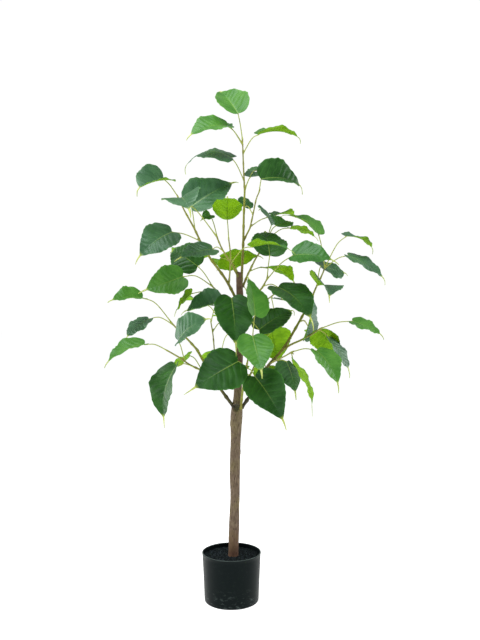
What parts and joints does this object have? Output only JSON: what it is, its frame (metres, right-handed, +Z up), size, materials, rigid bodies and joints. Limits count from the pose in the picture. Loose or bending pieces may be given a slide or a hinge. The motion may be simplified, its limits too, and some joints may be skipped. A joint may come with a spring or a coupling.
{
  "type": "artificial bodhi tree",
  "caption": "Artificial bodhi tree: slim wooden trunk in a filled dark pot, plugged-in plastic boughs and heart-shaped leaves with long drip tips.",
  "frame": {"origin": "centre of the pot's flat underside", "axes": "+Z up along the trunk; the tree is seen from the front looking along +Y, with +X to the right"},
  "size_m": [0.6348, 0.4668, 1.2128],
  "materials": {
    "pot": "moulded black plastic, satin, slightly scuffed",
    "filling": "set filling with a dark granular top, matt",
    "trunk_wood": "dry natural wood with fine upright grain, matt",
    "stem": "moulded olive green plastic, satin",
    "leaf": "pressed leaf with raised veins, satin sheen"
  },
  "bodies": {
    "root": {"pot": "pot", "pot_filling": "filling", "trunk": "trunk_wood", "bough_top": "stem", "bough_leader_side": "stem", "bough_upper_right": "stem", "bough_mid_right": "stem", "bough_upper_left": "stem", "bough_centre": "stem", "bough_mid_left": "stem", "bough_low_left": "stem", "bough_low_left_front": "stem", "bough_low_left_inner": "stem", "bough_low_right": "stem", "bough_right_mid": "stem", "bough_right_front": "stem", "bough_front": "stem", "bough_front_high": "stem", "bough_back_low": "stem", "bough_back_high": "stem", "bough_back_right": "stem", "bough_back_left": "stem", "foliage_top": "leaf", "foliage_leader_side": "leaf", "foliage_upper_right": "leaf", "foliage_mid_right": "leaf", "foliage_upper_left": "leaf", "foliage_centre_fork": "leaf", "foliage_centre": "leaf", "foliage_mid_left": "leaf", "foliage_low_left": "leaf", "foliage_low_left_front": "leaf", "foliage_low_left_inner": "leaf", "foliage_low_right": "leaf", "foliage_right_mid": "leaf", "foliage_right_front": "leaf", "foliage_front": "leaf", "foliage_front_high": "leaf", "foliage_back_upper": "leaf", "foliage_right_back": "leaf", "foliage_low_back": "leaf", "foliage_back_right": "leaf", "foliage_back_low": "leaf", "foliage_back_high": "leaf", "foliage_back_left": "leaf"}
  },
  "joints": []
}
